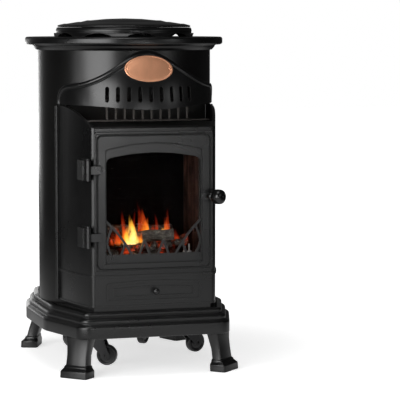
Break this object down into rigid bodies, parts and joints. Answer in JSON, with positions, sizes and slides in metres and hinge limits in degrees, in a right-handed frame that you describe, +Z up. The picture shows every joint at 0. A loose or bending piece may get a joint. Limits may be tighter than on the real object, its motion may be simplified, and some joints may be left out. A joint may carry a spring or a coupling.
{
  "type": "gas stove heater",
  "caption": "Gas room heater shaped as a small cast-iron stove: round drum body, glazed front door with fretwork, scrolled fascia, round rim and lid, plinth on four feet with castors.",
  "frame": {"origin": "on the floor, at the centre of the whole object's box", "axes": "+X to the right seen from the front, +Y to the back, +Z up; the door faces -Y"},
  "size_m": [0.444, 0.5739, 0.77],
  "materials": {
    "cast_iron_black": "satin black stove paint over the casting",
    "sheet_black": "satin black enamel on sheet steel",
    "liner_dark": "matt heat resistant coating",
    "steel_zinc": "bright zinc",
    "brass": "plain",
    "ceramic_fuel": "matt, heat stained",
    "badge_copper": "aged copper tone",
    "door_glass": "clear heat resistant ceramic glass",
    "knob_plastic": "fine texture",
    "button_red": "smooth",
    "wheel_plastic": "hard tread"
  },
  "bodies": {
    "root": {"base_plinth": "cast_iron_black", "top_plate": "cast_iron_black", "top_ring": "cast_iron_black", "lower_front_casting": "cast_iron_black", "upper_fascia": "cast_iron_black", "panel_knob": "cast_iron_black", "lid_hinge_bracket_left": "cast_iron_black", "lid_hinge_bracket_right": "cast_iron_black", "door_hinge_bracket_upper": "cast_iron_black", "door_hinge_bracket_lower": "cast_iron_black", "leg_front_left": "cast_iron_black", "leg_front_right": "cast_iron_black", "leg_rear_left": "cast_iron_black", "leg_rear_right": "cast_iron_black", "outer_casing": "sheet_black", "base_plate": "sheet_black", "control_plate": "sheet_black", "divider_plate": "sheet_black", "rear_hinge_bracket_lower": "sheet_black", "rear_hinge_bracket_upper": "sheet_black", "burner_tray": "sheet_black", "outlet_guard": "liner_dark", "firebox_liner": "liner_dark", "lid_hinge_pin_left": "steel_zinc", "lid_hinge_pin_right": "steel_zinc", "door_hinge_pin_upper": "steel_zinc", "door_hinge_pin_lower": "steel_zinc", "rear_hinge_pin_lower": "steel_zinc", "rear_hinge_pin_upper": "steel_zinc", "burner": "steel_zinc", "pilot_assembly": "steel_zinc", "gas_valve": "brass", "burner_gas_pipe": "brass", "gas_inlet_pipe": "brass", "firebox_side_panel_left": "ceramic_fuel", "firebox_side_panel_right": "ceramic_fuel", "firebox_back_panel": "ceramic_fuel", "ember_bed": "ceramic_fuel", "ceramic_log_rear": "ceramic_fuel", "ceramic_log_front": "ceramic_fuel", "badge_plate": "badge_copper", "igniter_body": "knob_plastic"},
    "door": {"door_frame": "cast_iron_black", "door_glass": "door_glass", "glass_retainer": "liner_dark"},
    "latch": {"latch_spindle": "steel_zinc", "latch_knob": "cast_iron_black"},
    "rear_door": {"rear_cover": "sheet_black"},
    "rear_catch": {"rear_catch_knob": "cast_iron_black"},
    "lid": {"top_lid": "cast_iron_black"},
    "gas_knob": {"gas_control_knob": "knob_plastic"},
    "ignition_button": {"igniter_button": "button_red"},
    "swivel_front_left": {"castor_fork_front_left": "steel_zinc"},
    "wheel_front_left": {"castor_wheel_front_left": "wheel_plastic"},
    "swivel_front_right": {"castor_fork_front_right": "steel_zinc"},
    "wheel_front_right": {"castor_wheel_front_right": "wheel_plastic"},
    "swivel_rear_left": {"castor_fork_rear_left": "steel_zinc"},
    "wheel_rear_left": {"castor_wheel_rear_left": "wheel_plastic"},
    "swivel_rear_right": {"castor_fork_rear_right": "steel_zinc"},
    "wheel_rear_right": {"castor_wheel_rear_right": "wheel_plastic"}
  },
  "joints": [
    {"name": "door_hinge", "type": "hinge", "parent": "root", "child": "door", "pos_m": [-0.147, -0.2413, 0.378], "axis": [0, 0, -1], "range_deg": [0, 110]},
    {"name": "latch_turn", "type": "hinge", "parent": "door", "child": "latch", "pos_m": [0.113, -0.2413, 0.388], "axis": [0, -1, 0], "range_deg": [0, 90]},
    {"name": "rear_cover_hinge", "type": "hinge", "parent": "root", "child": "rear_door", "pos_m": [-0.15902, 0.14789, 0.4], "axis": [0, 0, 1], "range_deg": [0, 120]},
    {"name": "rear_catch_turn", "type": "hinge", "parent": "rear_door", "child": "rear_catch", "pos_m": [0.13337, 0.17073, 0.4], "axis": [0.6669, 0.7452, 0], "range_deg": [0, 90]},
    {"name": "lid_hinge", "type": "hinge", "parent": "root", "child": "lid", "pos_m": [0, 0.1817, 0.7533], "axis": [-1, 0, 0], "range_deg": [0, 95]},
    {"name": "gas_knob_turn", "type": "hinge", "parent": "root", "child": "gas_knob", "pos_m": [-0.034, -0.0083, 0.725], "axis": [0, 0, -1], "range_deg": [0, 180]},
    {"name": "ignition_press", "type": "slide", "parent": "root", "child": "ignition_button", "axis": [0, 0, -1], "range_m": [0, 0.005], "stiffness_N_per_m": 400, "springref_m": -0.003},
    {"name": "swivel_turn_front_left", "type": "hinge", "parent": "root", "child": "swivel_front_left", "pos_m": [-0.088, -0.0683, 0.06], "axis": [0, 0, 1], "continuous": true},
    {"name": "wheel_roll_front_left", "type": "hinge", "parent": "swivel_front_left", "child": "wheel_front_left", "pos_m": [-0.06754, -0.08084, 0.024], "axis": [0.5227, 0.8525, 0], "continuous": true},
    {"name": "swivel_turn_front_right", "type": "hinge", "parent": "root", "child": "swivel_front_right", "pos_m": [0.148, 0.0257, 0.06], "axis": [0, 0, 1], "continuous": true},
    {"name": "wheel_roll_front_right", "type": "hinge", "parent": "swivel_front_right", "child": "wheel_front_right", "pos_m": [0.17054, 0.03393, 0.024], "axis": [-0.3429, 0.9394, 0], "continuous": true},
    {"name": "swivel_turn_rear_left", "type": "hinge", "parent": "root", "child": "swivel_rear_left", "pos_m": [-0.07, 0.1617, 0.06], "axis": [0, 0, 1], "continuous": true},
    {"name": "wheel_roll_rear_left", "type": "hinge", "parent": "swivel_rear_left", "child": "wheel_rear_left", "pos_m": [-0.0877, 0.17791, 0.024], "axis": [-0.6755, -0.7374, 0], "continuous": true},
    {"name": "swivel_turn_rear_right", "type": "hinge", "parent": "root", "child": "swivel_rear_right", "pos_m": [0.07, 0.1617, 0.06], "axis": [0, 0, 1], "continuous": true},
    {"name": "wheel_roll_rear_right", "type": "hinge", "parent": "swivel_rear_right", "child": "wheel_rear_right", "pos_m": [0.08492, 0.1805, 0.024], "axis": [-0.7833, 0.6216, 0], "continuous": true}
  ]
}
